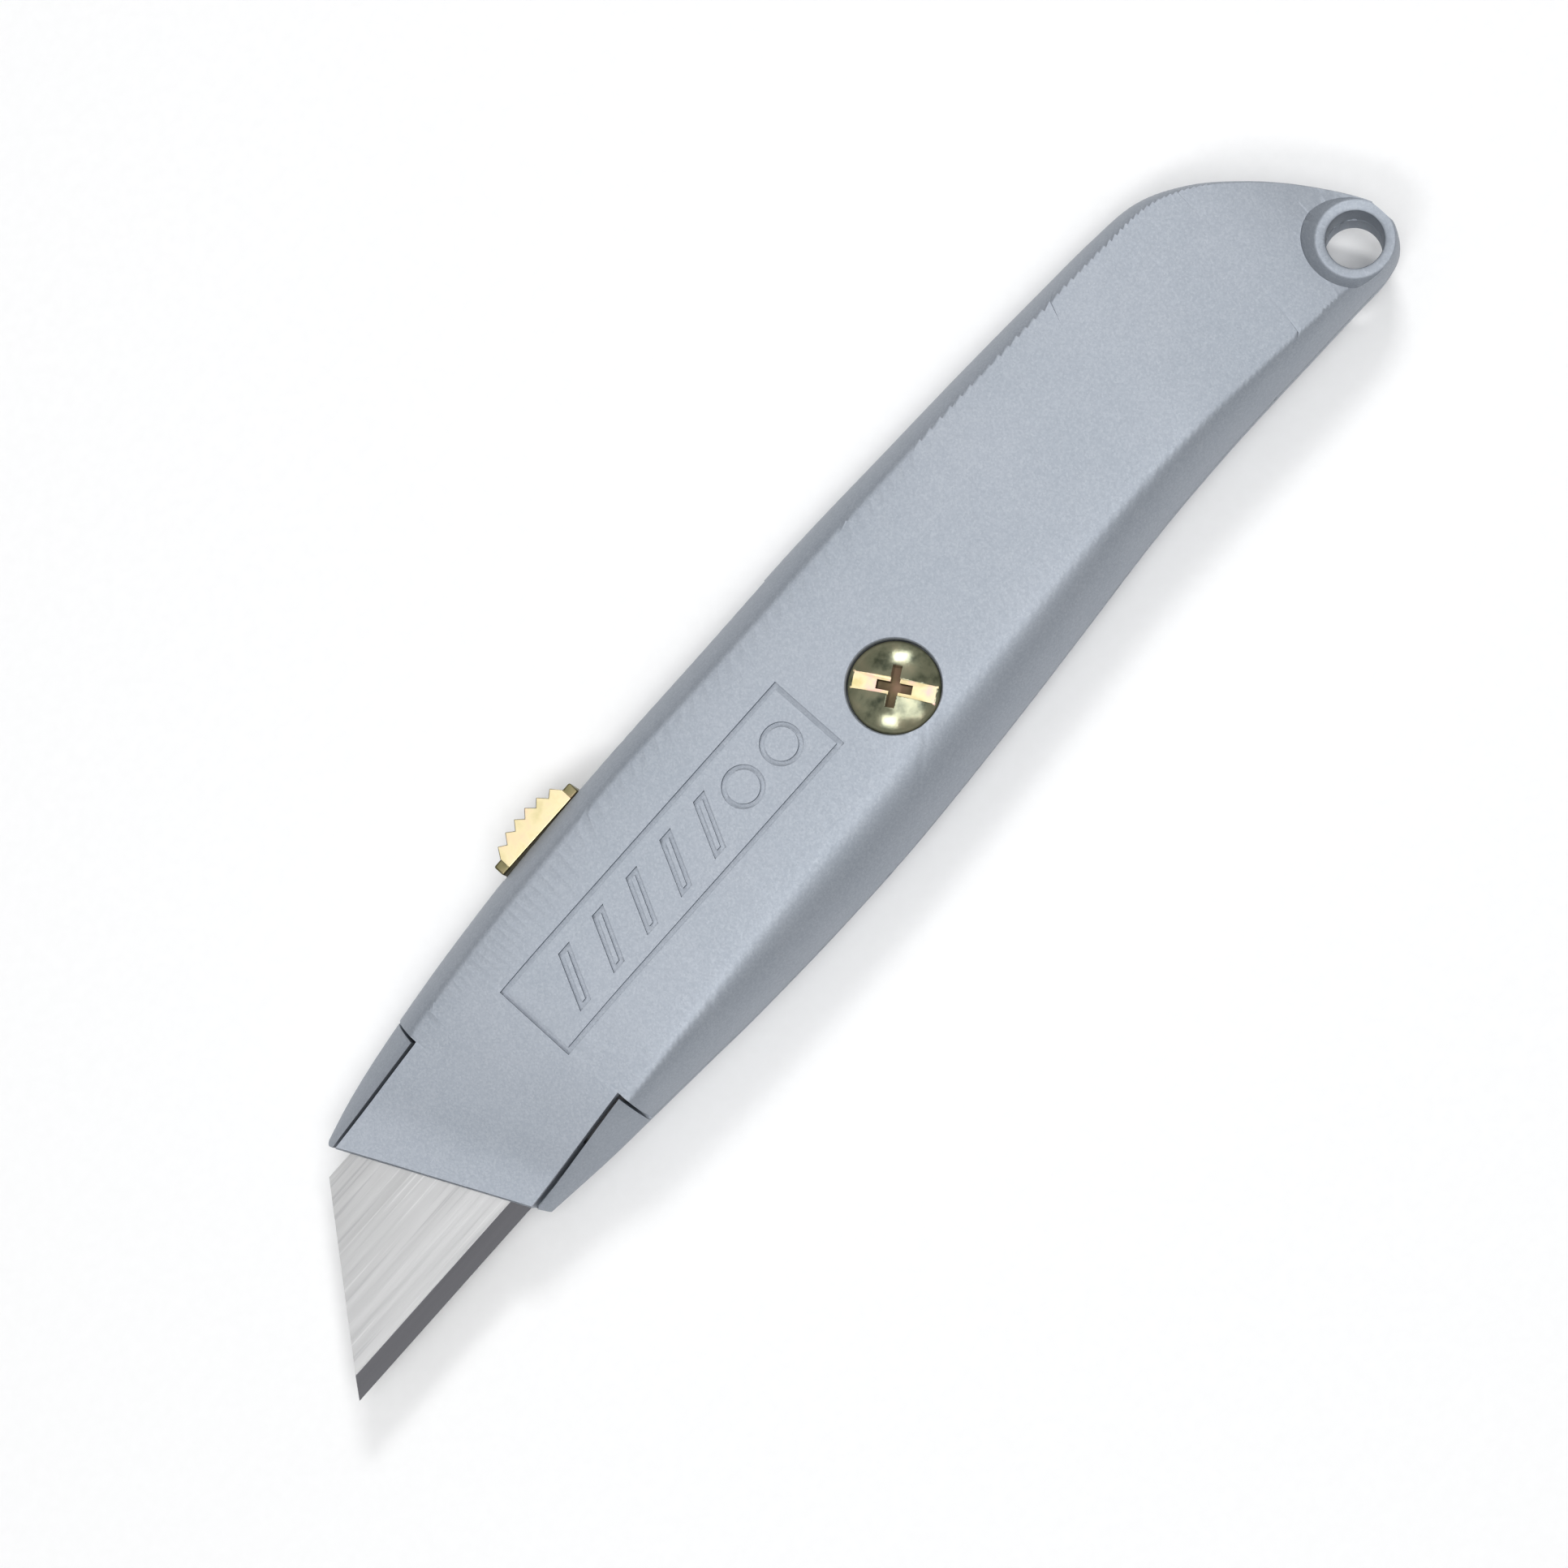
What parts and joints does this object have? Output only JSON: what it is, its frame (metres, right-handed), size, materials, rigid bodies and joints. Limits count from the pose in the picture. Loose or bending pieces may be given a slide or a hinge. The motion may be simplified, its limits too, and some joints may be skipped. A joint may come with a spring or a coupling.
{
  "type": "retractable utility knife",
  "caption": "Retractable utility knife: two cast casing halves on one screw, a sliding blade carrier with a sprung thumb button, and spare blades stored in the handle.",
  "frame": {"origin": "centre of the base of the box round the knife, lying on its far casing with the blade out", "axes": "+X along the handle towards the hang hole, +Y towards the thumb button, +Z out of the near casing, along the body screw"},
  "size_m": [0.1721, 0.035, 0.0173],
  "materials": {
    "casing_paint": "satin",
    "yellow_zinc": "polished",
    "button_zinc": "satin",
    "blade_steel": "satin",
    "spring_steel": "satin"
  },
  "bodies": {
    "casing": {"near_casing": "casing_paint", "far_casing": "casing_paint", "body_screw": "yellow_zinc", "spare_blade_1": "blade_steel", "spare_blade_2": "blade_steel", "spare_blade_3": "blade_steel", "spare_blade_4": "blade_steel", "spare_blade_5": "blade_steel", "spare_blade_clip": "spring_steel", "clip_rivet": "spring_steel"},
    "carriage": {"blade_carrier": "yellow_zinc", "blade": "blade_steel", "button_spring": "spring_steel", "spring_rivets": "yellow_zinc"},
    "button": {"thumb_button": "button_zinc"}
  },
  "joints": [
    {"name": "blade_slide", "type": "slide", "parent": "casing", "child": "carriage", "axis": [1, 0, 0], "range_m": [0, 0.0305]},
    {"name": "button_press", "type": "slide", "parent": "carriage", "child": "button", "axis": [0, -1, 0], "range_m": [0, 0.0011], "stiffness_N_per_m": 900, "springref_m": -0.003, "deforming": ["button_spring"]}
  ]
}
